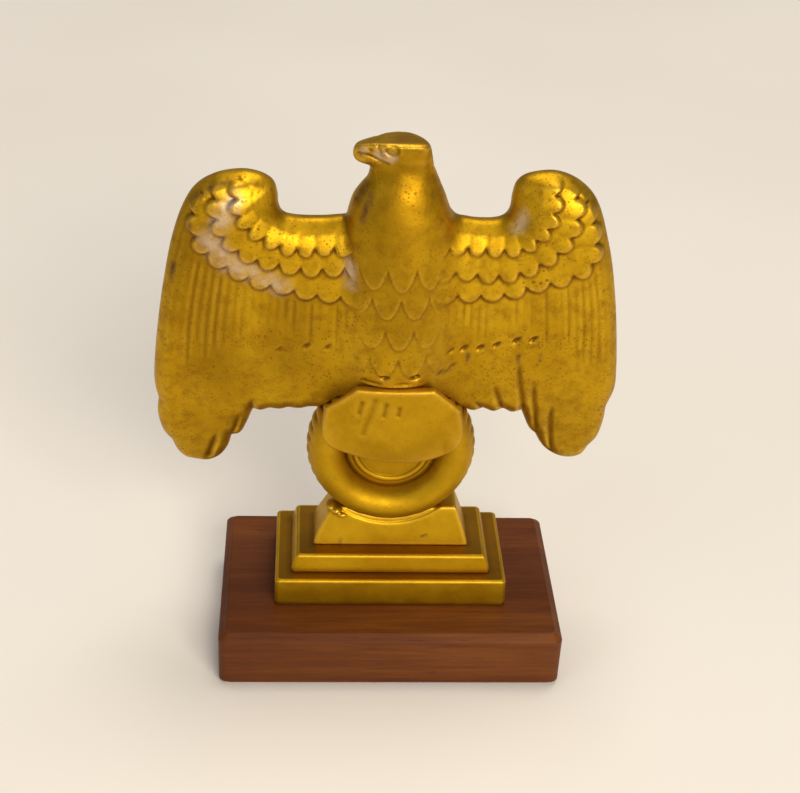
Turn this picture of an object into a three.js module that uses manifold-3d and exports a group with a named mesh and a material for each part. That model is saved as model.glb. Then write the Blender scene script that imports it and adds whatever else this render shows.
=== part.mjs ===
// A cast eagle hood ornament, shown on a stepped plinth and a wooden display base.
//
// Millimetres. +X is to the right, +Y points away from the tail side, +Z is up, and the
// origin is the middle of the felt pad's underside. Every piece is made where it stands.

import * as THREE from 'three';
import { mergeVertices } from 'three/addons/utils/BufferGeometryUtils.js';
import Module from 'manifold-3d';

const wasm = await Module();
wasm.setup();

// ---------------------------------------------------------------- driving dimensions

const GAP = 0.3; // left between castings that were fitted to each other
const HARDWARE_GAP = 0.1; // left between stacked washers, nuts and heads

const felt = { width: 99.6, depth: 58.9, height: 1.0, corner: 3.0 };
const wood = { width: 101.6, depth: 60.9, top: 18.45, corner: 3.2, chamfer: 2.6 };

const PLINTH_Y = 2.1; // the castings stand a little behind the middle of the wood
const foot = { width: 69.5, depth: 35.6, height: 9.15, edge: 1.2, corner: 1.6 };
const step = { bottom: [60.1, 27.2], top: [56.6, 25.4], height: 5.8 };
const saddle = { bottom: [46.6, 15.2], top: [37.9, 10.0], height: 12.1 };

const footBottom = wood.top;
const stepBottom = footBottom + foot.height;
const saddleBottom = stepBottom + step.height;
const saddleTop = saddleBottom + saddle.height;

const ring = { x: -0.9, z: 65.2, outer: 24.6, hole: 13.4, halfDepth: 8.0 };
const tubeRadius = (ring.outer - ring.hole) / 2;
const tubeCircle = ring.hole + tubeRadius;
const disc = { radius: 13.0, halfDepth: 3.4, rim: 2.4, bead: 0.8 };

const body = {
  x: -1.3, // the figure leans a little to the left of the plinth's middle
  left: -15.2, // joint face with the left wing
  right: 12.7, // joint face with the right wing
  bottom: 78.0,
  shoulder: 139.6,
  halfDepth: 5.3,
  flatten: 0.8, // the trunk's depth over its width
};
const wing = { halfDepth: 5.6, edgeDepth: 3.6, edgeWidth: 2.0, tipThinning: 0.3 };
const tail = { x: -1.2, back: -6.2, depth: 4.2, bevel: 1.1, top: 90.6 };

const stud = { radius: 2.2, hole: 2.5, x: 22.0, bottom: 3.6, top: 24.6 };
const counterbore = { radius: 7.4, ceiling: 9.5 };
const washer = { radius: 6.4, height: 1.2 };
const nut = { radius: 5.4, height: 3.4 };
const tie = { radius: 2.2, hole: 2.5, headRadius: 4.6, headHeight: 2.8, top: 49.0, ceiling: 23.0 };
const pin = { radius: 1.6, hole: 1.9 };

const ROUND = 16; // sides of a screw, pin or hole

// ---------------------------------------------------------------- materials

const gilt = new THREE.MeshStandardMaterial({ color: 0xb98a1f, roughness: 0.42, metalness: 0.85 });
const walnut = new THREE.MeshStandardMaterial({ color: 0x6b3320, roughness: 0.45, metalness: 0.0 });
const baize = new THREE.MeshStandardMaterial({ color: 0x6a2a26, roughness: 0.95, metalness: 0.0 });
const steel = new THREE.MeshStandardMaterial({ color: 0x9a9a98, roughness: 0.4, metalness: 1.0 });

// ---------------------------------------------------------------- solids

function solid(geometry) {
  geometry.deleteAttribute('normal');
  geometry.deleteAttribute('uv');
  const merged = mergeVertices(geometry, 1e-4);
  const vertProperties = new Float32Array(merged.attributes.position.array);
  const triVerts = new Uint32Array(merged.index.array);
  return new wasm.Manifold(new wasm.Mesh({ numProp: 3, vertProperties, triVerts }));
}

function geometryOf(shape) {
  const mesh = shape.getMesh();
  const geometry = new THREE.BufferGeometry();
  geometry.setAttribute('position', new THREE.BufferAttribute(mesh.vertProperties, 3));
  geometry.setIndex(new THREE.BufferAttribute(mesh.triVerts, 1));
  geometry.computeVertexNormals();
  return geometry;
}

// A straight round or many-sided bar between two points.
function rod(radius, from, to, sides = ROUND) {
  const start = new THREE.Vector3(...from);
  const end = new THREE.Vector3(...to);
  const along = end.clone().sub(start);
  const bar = new THREE.CylinderGeometry(radius, radius, along.length(), sides);
  const turn = new THREE.Quaternion().setFromUnitVectors(new THREE.Vector3(0, 1, 0), along.normalize());
  bar.applyQuaternion(turn);
  const middle = start.add(end).multiplyScalar(0.5);
  bar.translate(middle.x, middle.y, middle.z);
  return solid(bar);
}

function upright(radius, x, y, bottom, top, sides = ROUND) {
  return rod(radius, [x, y, bottom], [x, y, top], sides);
}

function box(low, high) {
  const size = high.map((value, axis) => value - low[axis]);
  const block = new THREE.BoxGeometry(...size);
  block.translate(low[0] + size[0] / 2, low[1] + size[1] / 2, low[2] + size[2] / 2);
  return solid(block);
}

function ellipsoid(centre, radii, columns = 14, rows = 10) {
  const ball = new THREE.SphereGeometry(1, columns, rows);
  ball.scale(...radii);
  ball.translate(...centre);
  return solid(ball);
}

function roundedRectangle(width, depth, corner) {
  const x = width / 2;
  const y = depth / 2;
  const shape = new THREE.Shape();
  shape.absarc(x - corner, y - corner, corner, 0, Math.PI / 2);
  shape.absarc(corner - x, y - corner, corner, Math.PI / 2, Math.PI);
  shape.absarc(corner - x, corner - y, corner, Math.PI, Math.PI * 1.5);
  shape.absarc(x - corner, corner - y, corner, Math.PI * 1.5, Math.PI * 2);
  return shape;
}

// A flat-bottomed plate whose top edge is chamfered or rounded.
function plate({ width, depth, corner }, y, bottom, top, edge, edgeSteps) {
  const shape = roundedRectangle(width, depth, corner);
  const sunk = bottom - 2 * edge;
  const blank = new THREE.ExtrudeGeometry(shape, {
    depth: top - sunk - 2 * edge,
    bevelThickness: edge,
    bevelSize: edge,
    bevelOffset: -edge,
    bevelSegments: edgeSteps,
    curveSegments: 4,
  });
  blank.translate(0, y, sunk + edge);
  const below = box([-width, y - depth, sunk - edge], [width, y + depth, bottom]);
  return solid(blank).subtract(below);
}

// A block whose four sides lean in from the bottom size to the top size.
function taperedBlock(bottomSize, topSize, y, bottom, height) {
  const block = new THREE.BoxGeometry(bottomSize[0], bottomSize[1], height);
  const place = block.attributes.position;
  for (let index = 0; index < place.count; index += 1) {
    if (place.getZ(index) > 0) {
      place.setX(index, (place.getX(index) * topSize[0]) / bottomSize[0]);
      place.setY(index, (place.getY(index) * topSize[1]) / bottomSize[1]);
    }
  }
  block.translate(0, y, bottom + height / 2);
  return solid(block);
}

// The ring's own solid, or with a margin the room that a neighbour leaves for it.
function ringSolid(margin = 0) {
  const tube = tubeRadius + margin;
  const torus = new THREE.TorusGeometry(tubeCircle, tube, 12, 40);
  torus.scale(1, 1, (ring.halfDepth + margin) / tube);
  torus.rotateX(Math.PI / 2);
  torus.translate(ring.x, PLINTH_Y, ring.z);
  return solid(torus);
}

// ---------------------------------------------------------------- base and its fasteners

function feltPad() {
  const shape = roundedRectangle(felt.width, felt.depth, felt.corner);
  const blank = new THREE.ExtrudeGeometry(shape, {
    depth: felt.height,
    bevelEnabled: false,
    curveSegments: 4,
  });
  return solid(blank);
}

function woodBase() {
  let base = plate(wood, 0, felt.height, wood.top, wood.chamfer, 1);
  for (const x of [-stud.x, stud.x]) {
    base = base.subtract(upright(stud.hole, x, PLINTH_Y, 0, wood.top + 1));
    base = base.subtract(upright(counterbore.radius, x, PLINTH_Y, 0, counterbore.ceiling));
  }
  return base;
}

function mountingStud(x) {
  return upright(stud.radius, x, PLINTH_Y, stud.bottom, stud.top);
}

function mountingWasher(x) {
  const top = counterbore.ceiling - HARDWARE_GAP;
  const round = upright(washer.radius, x, PLINTH_Y, top - washer.height, top);
  return round.subtract(upright(stud.hole, x, PLINTH_Y, 0, wood.top));
}

function mountingNut(x) {
  const top = counterbore.ceiling - washer.height - 2 * HARDWARE_GAP;
  const hexagon = upright(nut.radius, x, PLINTH_Y, top - nut.height, top, 6);
  return hexagon.subtract(upright(stud.hole, x, PLINTH_Y, 0, wood.top));
}

// ---------------------------------------------------------------- plinth

function tieHole(bottom, top) {
  return upright(tie.hole, ring.x, PLINTH_Y, bottom, top);
}

function plinthFoot() {
  let casting = plate(foot, PLINTH_Y, footBottom, stepBottom, foot.edge, 2);
  for (const x of [-stud.x, stud.x]) {
    casting = casting.subtract(upright(stud.hole, x, PLINTH_Y, footBottom - 1, stud.top + GAP));
  }
  const headPocket = upright(washer.radius, ring.x, PLINTH_Y, footBottom - 1, tie.ceiling);
  return casting.subtract(headPocket).subtract(tieHole(footBottom, stepBottom + 1));
}

function plinthStep() {
  const casting = taperedBlock(step.bottom, step.top, PLINTH_Y, stepBottom, step.height);
  return casting.subtract(tieHole(stepBottom - 1, saddleBottom + 1));
}

function plinthSaddle() {
  const casting = taperedBlock(saddle.bottom, saddle.top, PLINTH_Y, saddleBottom, saddle.height);
  const front = PLINTH_Y - saddle.bottom[1];
  const back = PLINTH_Y + saddle.bottom[1];
  const seat = rod(ring.outer + GAP, [ring.x, front, ring.z], [ring.x, back, ring.z], 40);
  return casting.subtract(seat).subtract(tieHole(saddleBottom - 1, saddleTop + 1));
}

function tieWasher() {
  const top = tie.ceiling - HARDWARE_GAP;
  const round = upright(tie.headRadius + 1, ring.x, PLINTH_Y, top - washer.height, top);
  return round.subtract(tieHole(footBottom, stepBottom));
}

function tieBolt() {
  const headTop = tie.ceiling - washer.height - 2 * HARDWARE_GAP;
  const head = upright(tie.headRadius, ring.x, PLINTH_Y, headTop - tie.headHeight, headTop, 6);
  return head.add(upright(tie.radius, ring.x, PLINTH_Y, headTop - tie.headHeight / 2, tie.top));
}

// ---------------------------------------------------------------- ring

const ringPins = [-6.4, 4.6]; // x of the two pins that hold the eagle on the ring
const ringPinSpan = [81.0, 99.0];
const tailPin = { z: 84.0, from: -9.0, to: -0.5 };

function ringCasting() {
  let casting = ringSolid().subtract(tieHole(saddleBottom, tie.top + GAP));
  for (const x of ringPins) {
    casting = casting.subtract(upright(pin.hole, x, PLINTH_Y, ringPinSpan[0] - GAP, ringPinSpan[1]));
  }
  return casting.subtract(tailPinRod(pin.hole, GAP));
}

// A turned plate with a bead near its edge on both sides, closed on its own axis.
function ringDisc() {
  const inner = disc.radius - disc.rim;
  const profile = [
    new THREE.Vector2(0, -disc.halfDepth + disc.bead),
    new THREE.Vector2(inner, -disc.halfDepth + disc.bead),
    new THREE.Vector2(inner + disc.rim / 3, -disc.halfDepth),
    new THREE.Vector2(disc.radius, -disc.halfDepth),
    new THREE.Vector2(disc.radius, disc.halfDepth),
    new THREE.Vector2(inner + disc.rim / 3, disc.halfDepth),
    new THREE.Vector2(inner, disc.halfDepth - disc.bead),
    new THREE.Vector2(0, disc.halfDepth - disc.bead),
  ];
  const turned = new THREE.LatheGeometry(profile, 32);
  turned.translate(ring.x, PLINTH_Y, ring.z);
  return solid(turned);
}

function ringPin(x) {
  return upright(pin.radius, x, PLINTH_Y, ...ringPinSpan);
}

function tailPinRod(radius, extra = 0) {
  return rod(radius, [ring.x, tailPin.from - extra, tailPin.z], [ring.x, tailPin.to + extra, tailPin.z]);
}

// ---------------------------------------------------------------- eagle

const wingPinHeights = [104.0, 130.0];
const wingPinReach = 7.0; // how far each wing pin goes into the body and into the wing

function wingPin(side, z, radius = pin.radius, extra = 0) {
  const face = side < 0 ? body.left : body.right;
  const reach = wingPinReach + extra;
  return rod(radius, [face - reach, PLINTH_Y, z], [face + reach, PLINTH_Y, z]);
}

// The trunk is turned about an upright axis, then flattened front to back.
function trunk() {
  const profile = [
    [0, 84], [11.5, 84], [12.6, 96], [14.2, 112], [14.6, 128], [13.9, 138],
    [11.6, 147], [9.4, 153], [7.4, 159], [0, 161],
  ].map(([radius, z]) => new THREE.Vector2(radius, z));
  const turned = new THREE.LatheGeometry(profile, 20);
  turned.rotateX(Math.PI / 2);
  turned.scale(1, -body.flatten, 1);
  turned.translate(body.x, PLINTH_Y - 1, 0);
  turned.index.array.reverse();
  return solid(turned);
}

function head() {
  const skull = ellipsoid([-2.6, PLINTH_Y, 157.2], [8.6, 7.0, 6.6]);
  const beak = ellipsoid([-9.6, PLINTH_Y, 157.8], [5.2, 3.0, 3.4]);
  return skull.add(beak);
}

const legs = [-8.2, 5.6]; // x of the two thighs
const toeSpread = [-3.4, 0, 3.4];

// A thigh and three toes, or with a margin the room that the trunk leaves for them.
function legShape(x, margin = 0) {
  const thigh = ellipsoid([x, 10.4, 95.0], [5.2 + margin, 4.8 + margin, 9.0 + margin]);
  const toes = toeSpread.map((offset) => ellipsoid(
    [x + offset, 10.2, 86.0],
    [1.6 + margin, 3.4 + margin, 6.0 + margin],
    8,
    6,
  ));
  return toes.reduce((whole, toe) => whole.add(toe), thigh);
}

function eagleBody() {
  const shoulders = box(
    [body.left, PLINTH_Y - body.halfDepth, body.bottom],
    [body.right, PLINTH_Y + body.halfDepth, body.shoulder],
  );
  const wide = box([body.left, -60, 0], [body.right, 60, 200]);
  const room = box([-60, -60, 0], [60, tail.back + GAP, tail.top + 2 * GAP]);
  let casting = trunk().intersect(wide).add(head()).add(shoulders);
  casting = casting.subtract(room).subtract(ringSolid(GAP));
  // Below this height the ring would leave only loose corners of the trunk.
  casting = casting.subtract(box([-60, -60, 0], [60, 60, ring.z + ring.outer - 2.5]));
  for (const side of [-1, 1]) {
    for (const z of wingPinHeights) {
      casting = casting.subtract(wingPin(side, z, pin.hole, GAP));
    }
  }
  for (const x of ringPins) {
    casting = casting.subtract(upright(pin.hole, x, PLINTH_Y, ringPinSpan[0], ringPinSpan[1] + GAP));
  }
  for (const x of legs) {
    casting = casting.subtract(legShape(x, GAP));
  }
  return casting;
}

const leftWingOutline = [
  [-22, 139], [-29.5, 139], [-33.3, 141], [-34.3, 146], [-37, 150], [-44, 152.3], [-50.8, 151.2],
  [-56.2, 147.8], [-59.6, 141.5], [-62.5, 132.5], [-65.6, 117], [-67.8, 102], [-69.1, 89],
  [-68.6, 78], [-67.6, 69.8], [-64.4, 63.2], [-59.4, 59.1], [-53, 59.5], [-48.8, 63], [-46.8, 68.4],
  [-43.4, 71.2], [-40.6, 76.6], [-32, 77.5], [-22.5, 78.1], [-15.5, 78.1],
];
const rightWingOutline = [
  [19.5, 139.1], [26.4, 139.7], [28.3, 143.6], [29, 149.2], [32.6, 152.5], [38.6, 153.8],
  [45, 152.1], [51.2, 146.3], [54.8, 137], [58.2, 125], [60.9, 110], [62.6, 96], [63.3, 87],
  [61.8, 79.6], [61.1, 71.5], [58.4, 65.8], [54.4, 61.7], [50, 61.9], [45, 65.4], [40.4, 71.2],
  [36.8, 77.2], [30, 77.7], [20.5, 78], [13.2, 78],
];

// A wing is an outline with a fully rounded edge, thinner towards its tip.
function wingCasting(side, outline, face) {
  const shape = new THREE.Shape();
  const root = face + side * GAP;
  shape.moveTo(root, body.shoulder);
  shape.splineThru(outline.slice(0, -1).map(([x, z]) => new THREE.Vector2(x, z)));
  shape.lineTo(root, outline.at(-1)[1]);
  const blank = new THREE.ExtrudeGeometry(shape, {
    depth: 2 * (wing.halfDepth - wing.edgeDepth),
    bevelThickness: wing.edgeDepth,
    bevelSize: wing.edgeWidth,
    bevelOffset: -wing.edgeWidth,
    bevelSegments: 3,
    curveSegments: 2,
  });
  blank.translate(0, 0, wing.edgeDepth - wing.halfDepth);
  blank.rotateX(Math.PI / 2);
  const place = blank.attributes.position;
  for (let index = 0; index < place.count; index += 1) {
    const below = Math.max(0, 120 - place.getZ(index)) / 60;
    place.setY(index, PLINTH_Y + place.getY(index) * (1 - wing.tipThinning * below));
  }
  const inside = side < 0 ? box([root, -60, 0], [60, 60, 200]) : box([-80, -60, 0], [root, 60, 200]);
  let casting = solid(blank).subtract(inside).subtract(ringSolid(GAP));
  for (const z of wingPinHeights) {
    casting = casting.subtract(wingPin(side, z, pin.hole, GAP));
  }
  return casting;
}

function legCasting(x) {
  return legShape(x).subtract(ringSolid(GAP));
}

function tailCasting() {
  const half = [[11, tail.top], [19.4, 84.4], [19.9, 78], [19.6, 71.9], [12, 68.2], [0, 66.2]];
  const shape = new THREE.Shape();
  half.forEach(([x, z], index) => {
    if (index === 0) shape.moveTo(tail.x + x, z);
    else shape.lineTo(tail.x + x, z);
  });
  half.slice(0, -1).reverse().forEach(([x, z]) => shape.lineTo(tail.x - x, z));
  const blank = new THREE.ExtrudeGeometry(shape, {
    depth: tail.depth - 2 * tail.bevel,
    bevelThickness: tail.bevel,
    bevelSize: tail.bevel,
    bevelOffset: -tail.bevel,
    bevelSegments: 2,
  });
  blank.rotateX(Math.PI / 2);
  blank.translate(0, tail.back - tail.bevel, 0);
  return solid(blank).subtract(tailPinRod(pin.hole, GAP));
}

// ---------------------------------------------------------------- the whole object

const model = new THREE.Group();

function place(name, shape, material) {
  const mesh = new THREE.Mesh(geometryOf(shape), material);
  mesh.name = name;
  model.add(mesh);
}

place('felt_pad', feltPad(), baize);
place('wood_base', woodBase(), walnut);
for (const [side, x] of [['left', -stud.x], ['right', stud.x]]) {
  place(`mounting_stud_${side}`, mountingStud(x), steel);
  place(`mounting_washer_${side}`, mountingWasher(x), steel);
  place(`mounting_nut_${side}`, mountingNut(x), steel);
}
place('plinth_foot', plinthFoot(), gilt);
place('plinth_step', plinthStep(), gilt);
place('plinth_saddle', plinthSaddle(), gilt);
place('tie_washer', tieWasher(), steel);
place('tie_bolt', tieBolt(), steel);
place('ring', ringCasting(), gilt);
place('ring_disc', ringDisc(), gilt);
ringPins.forEach((x, index) => place(`ring_pin_${['left', 'right'][index]}`, ringPin(x), steel));
place('eagle_body', eagleBody(), gilt);
place('left_wing', wingCasting(-1, leftWingOutline, body.left), gilt);
place('right_wing', wingCasting(1, rightWingOutline, body.right), gilt);
for (const [name, side] of [['left', -1], ['right', 1]]) {
  place(`${name}_wing_pin_lower`, wingPin(side, wingPinHeights[0]), steel);
  place(`${name}_wing_pin_upper`, wingPin(side, wingPinHeights[1]), steel);
}
legs.forEach((x, index) => place(`${['left', 'right'][index]}_leg`, legCasting(x), gilt));
place('tail', tailCasting(), gilt);
place('tail_pin', tailPinRod(pin.radius), steel);

export default model;
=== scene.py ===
"""The looks of the eagle hood ornament: its castings are carved as distance fields, in millimetres, and
turned into meshes in metres where the frame says; the base, ring and felt are lofted from their sections."""

import math

import bmesh
import bpy
import numpy as np
from mathutils import Matrix, Vector


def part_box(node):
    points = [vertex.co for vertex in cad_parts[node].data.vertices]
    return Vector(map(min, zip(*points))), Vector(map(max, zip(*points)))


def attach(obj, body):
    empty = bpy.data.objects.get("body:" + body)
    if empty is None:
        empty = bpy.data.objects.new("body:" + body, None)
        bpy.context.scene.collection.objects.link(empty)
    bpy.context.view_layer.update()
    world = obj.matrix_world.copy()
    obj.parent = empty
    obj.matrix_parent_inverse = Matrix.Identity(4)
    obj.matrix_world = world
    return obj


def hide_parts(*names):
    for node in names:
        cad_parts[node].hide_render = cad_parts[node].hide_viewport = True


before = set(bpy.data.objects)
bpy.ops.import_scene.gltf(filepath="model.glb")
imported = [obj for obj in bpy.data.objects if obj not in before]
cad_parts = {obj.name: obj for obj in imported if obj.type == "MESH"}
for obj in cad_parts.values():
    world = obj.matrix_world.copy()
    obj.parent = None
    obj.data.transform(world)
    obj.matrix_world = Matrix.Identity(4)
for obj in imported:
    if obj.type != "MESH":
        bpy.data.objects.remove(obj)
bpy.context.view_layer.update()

MM = 0.001

# ------------------------------------------------------------------ sizes from the frame, in millimetres


def box_mm(node):
    low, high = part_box(node)
    return np.array(low) / MM, np.array(high) / MM


ring_low, ring_high = box_mm("ring")
RING_X, RING_Y, RING_Z = (ring_low + ring_high) / 2
RING_OUTER = (ring_high[0] - ring_low[0]) / 2
RING_HALF_DEPTH = (ring_high[1] - ring_low[1]) / 2
RING_Z = ring_low[2] + RING_OUTER
disc_low, disc_high = box_mm("ring_disc")
RING_HOLE = (disc_high[0] - disc_low[0]) / 2 + 0.4
RING_TUBE = (RING_OUTER - RING_HOLE) / 2
RING_CIRCLE = RING_HOLE + RING_TUBE

body_low, body_high = box_mm("eagle_body")
LEFT_ROOT, RIGHT_ROOT = body_low[0], body_high[0]
tail_low, tail_high = box_mm("tail")
TAIL_X = (tail_low[0] + tail_high[0]) / 2

# ------------------------------------------------------------------ fields and curves


def smooth_min(a, b, radius):
    mix = np.clip(0.5 + 0.5 * (b - a) / radius, 0, 1)
    return b + (a - b) * mix - radius * mix * (1 - mix)


def smooth_max(a, b, radius):
    return -smooth_min(-a, -b, radius)


def ease(value):
    value = np.clip(value, 0, 1)
    return value * value * (3 - 2 * value)


def spline(points, steps=6):
    """A Catmull-Rom curve through the points."""
    points = np.array(points, float)
    padded = np.vstack([2 * points[0] - points[1], points, 2 * points[-1] - points[-2]])
    t = np.linspace(0, 1, steps, endpoint=False)[:, None]
    spans = []
    for a, b, c, d in zip(padded, padded[1:], padded[2:], padded[3:]):
        bend = (2 * a - 5 * b + 4 * c - d) * t**2 + (3 * b - a - 3 * c + d) * t**3
        spans.append(b + 0.5 * ((c - a) * t + bend))
    return np.vstack([*spans, points[-1:]])


def outline(*strokes):
    """A closed outline of smooth strokes that meet at corners."""
    return np.vstack([spline(stroke)[:-1] for stroke in strokes])


def through(value, *pairs):
    """A smooth curve of one variable through (position, height) pairs."""
    curve = spline(pairs)
    return np.interp(value, curve[:, 0], curve[:, 1])


def outline_distance(x, z, points):
    """Distance to a closed outline, negative inside it."""
    x, z = np.broadcast_arrays(x, z)
    nearest = np.full(x.shape, 1e9)
    inside = np.zeros(x.shape, bool)
    for a, b in zip(points, np.roll(points, -1, axis=0)):
        along = b - a
        length = along @ along
        if length < 1e-12:
            continue
        share = np.clip(((x - a[0]) * along[0] + (z - a[1]) * along[1]) / length, 0, 1)
        away = (x - a[0] - share * along[0]) ** 2 + (z - a[1] - share * along[1]) ** 2
        nearest = np.minimum(nearest, away)
        if a[1] != b[1]:
            crossing = (a[1] > z) != (b[1] > z)
            inside ^= crossing & (x < a[0] + (z - a[1]) * along[0] / along[1])
    return np.where(inside, -1, 1) * np.sqrt(nearest)


def along_curve(x, z, points):
    """Signed distance to an open curve, positive on its right, and the length along it."""
    x, z = np.broadcast_arrays(x, z)
    nearest = np.full(x.shape, 1e9)
    side = np.ones(x.shape)
    travelled = np.zeros(x.shape)
    start = 0.0
    for a, b in zip(points, points[1:]):
        along = b - a
        length = math.hypot(*along)
        share = np.clip(((x - a[0]) * along[0] + (z - a[1]) * along[1]) / length**2, 0, 1)
        away = (x - a[0] - share * along[0]) ** 2 + (z - a[1] - share * along[1]) ** 2
        closer = away < nearest
        nearest = np.where(closer, away, nearest)
        turn = along[1] * (x - a[0]) - along[0] * (z - a[1])
        side = np.where(closer, np.sign(turn), side)
        travelled = np.where(closer, start + share * length, travelled)
        start += length
    return side * np.sqrt(nearest), travelled


def ellipsoid(x, y, z, centre, radii):
    scaled = [(value - middle) / radius for value, middle, radius in zip((x, y, z), centre, radii)]
    reach = np.sqrt(sum(s**2 for s in scaled)) + 1e-9
    slope = np.sqrt(sum((s / r) ** 2 for s, r in zip(scaled, radii))) + 1e-9
    return reach * (reach - 1) / slope


def capsule(x, y, z, start, end, radius_start, radius_end):
    start, end = np.array(start, float), np.array(end, float)
    along = end - start
    offset = (x - start[0], y - start[1], z - start[2])
    share = sum(o * a for o, a in zip(offset, along)) / (along @ along)
    share = np.clip(share, 0, 1)
    away = sum((o - share * a) ** 2 for o, a in zip(offset, along))
    return np.sqrt(away) - radius_start - (radius_end - radius_start) * share


def rounded_slab(edge, depth, half, radius, rim=None):
    """A plate with rounded rims: edge is the distance to its outline, depth the one to its middle.

    The rounding starts rim away from the outline, or as far as it is deep.
    """
    outward = edge + radius if rim is None else (edge + rim) * radius / rim
    across = np.abs(depth) - half + radius
    return np.minimum(np.maximum(outward, across), 0) + np.hypot(
        np.maximum(outward, 0), np.maximum(across, 0)
    ) - radius


def ring_field(x, y, z, margin=0.0):
    reach = np.hypot(x - RING_X, z - RING_Z) - RING_CIRCLE
    flat = RING_TUBE / RING_HALF_DEPTH
    return (np.hypot(reach, (y - RING_Y) * flat) - RING_TUBE) - margin


# ------------------------------------------------------------------ from a field to a mesh

CORNERS = [(i, j, k) for i in (0, 1) for j in (0, 1) for k in (0, 1)]
EDGES = [
    (a, b) for a in range(8) for b in range(a + 1, 8)
    if sum(abs(p - q) for p, q in zip(CORNERS[a], CORNERS[b])) == 1
]


def net_surface(values, low, step):
    """Points and quads of the surface where the field crosses zero, one point in each cell it passes."""
    cells = [slice(0, n - 1) for n in values.shape]
    shifted = [
        values[tuple(slice(c.start + o, c.stop + o) for c, o in zip(cells, corner))] for corner in CORNERS
    ]
    count = sum((s < 0).astype(np.int8) for s in shifted)
    active = (count > 0) & (count < 8)
    index = np.full(active.shape, -1, np.int64)
    where = np.argwhere(active)
    index[active] = np.arange(len(where))
    at_corner = [s[active] for s in shifted]
    total = np.zeros((len(where), 3))
    hits = np.zeros(len(where))
    for a, b in EDGES:
        fa, fb = at_corner[a], at_corner[b]
        crossed = (fa < 0) != (fb < 0)
        share = np.where(crossed, fa / np.where(crossed, fa - fb, 1), 0)
        corner_a, corner_b = np.array(CORNERS[a]), np.array(CORNERS[b])
        total += crossed[:, None] * (corner_a + share[:, None] * (corner_b - corner_a))
        hits += crossed
    points = low + step * (where + total / hits[:, None])
    quads = []
    for axis in range(3):
        ahead = [slice(1, n - 1) for n in values.shape]
        ahead[axis] = slice(0, values.shape[axis] - 1)
        beyond = list(ahead)
        beyond[axis] = slice(1, values.shape[axis])
        here, there = values[tuple(ahead)] < 0, values[tuple(beyond)] < 0
        u, v = [other for other in range(3) if other != axis]
        for leaving in (True, False):
            found = np.argwhere((here & ~there) if leaving else (~here & there)) + [
                0 if other == axis else 1 for other in range(3)
            ]
            steps = [(0, 0), (-1, 0), (-1, -1), (0, -1)]
            if leaving != (axis != 1):
                steps.reverse()
            ring = []
            for du, dv in steps:
                cell = found.copy()
                cell[:, u] += du
                cell[:, v] += dv
                ring.append(index[tuple(cell.T)])
            quads.append(np.stack(ring, axis=1))
    return points, np.vstack(quads)


def mesh_object(name, points, faces, smooth=True):
    """A mesh object from points in millimetres."""
    mesh = bpy.data.meshes.new(name)
    mesh.from_pydata((np.asarray(points) * MM).tolist(), [], [list(map(int, face)) for face in faces])
    mesh.validate()
    mesh.update()
    mesh.polygons.foreach_set("use_smooth", [smooth] * len(mesh.polygons))
    piece = bpy.data.objects.new(name, mesh)
    bpy.context.scene.collection.objects.link(piece)
    return piece


def trim(piece, x, keep_right):
    """Cuts a piece at an upright plane across X, keeps one side, and closes the cut."""
    work = bmesh.new()
    work.from_mesh(piece.data)
    found = bmesh.ops.bisect_plane(
        work, geom=work.verts[:] + work.edges[:] + work.faces[:], dist=1e-7,
        plane_co=(x * MM, 0, 0), plane_no=(1, 0, 0),
        clear_inner=keep_right, clear_outer=not keep_right,
    )
    rim = [item for item in found["geom_cut"] if isinstance(item, bmesh.types.BMEdge)]
    caps = bmesh.ops.edgenet_fill(work, edges=rim)["faces"]
    outward = Vector((-1 if keep_right else 1, 0, 0))
    for cap in caps:
        cap.normal_update()
        if cap.normal.dot(outward) < 0:
            cap.normal_flip()
        cap.smooth = False
        for edge in cap.edges:
            edge.smooth = False
    work.to_mesh(piece.data)
    work.free()


def sampled(grid, low, step, points):
    """The grid's value at each point, blended from the eight grid points around it."""
    place = (points - low) / step
    base = np.clip(np.floor(place).astype(int), 0, np.array(grid.shape[:3]) - 2)
    share = place - base
    total = 0
    for corner in CORNERS:
        weight = np.prod(np.where(corner, share, 1 - share), axis=1)
        total = total + grid[tuple((base + corner).T)] * weight.reshape(-1, *[1] * (grid.ndim - 3))
    return total


def blurred(grid, passes):
    for _ in range(passes):
        for axis in range(3):
            padded = np.concatenate([grid.take([0], axis), grid, grid.take([-1], axis)], axis)
            count = padded.shape[axis]
            before, middle, after = (padded.take(range(k, count - 2 + k), axis) for k in range(3))
            grid = (before + 2 * middle + after) / 4
    return grid


def read_places(mesh):
    places = np.empty(len(mesh.vertices) * 3)
    mesh.vertices.foreach_get("co", places)
    return places.reshape(-1, 3) / MM


def store_grime_and_shade(mesh, depth):
    """Keeps on each point how much to brown or lighten its colour: 0.5 is plain, more is browner as grime and
    painted shade, less is lighter as wear and painted highlight.
    """
    layer = mesh.attributes.new("grime_and_shade", "FLOAT", "POINT")
    layer.data.foreach_set("value", np.clip(0.5 + depth, 0, 1).astype(np.float32))


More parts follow.
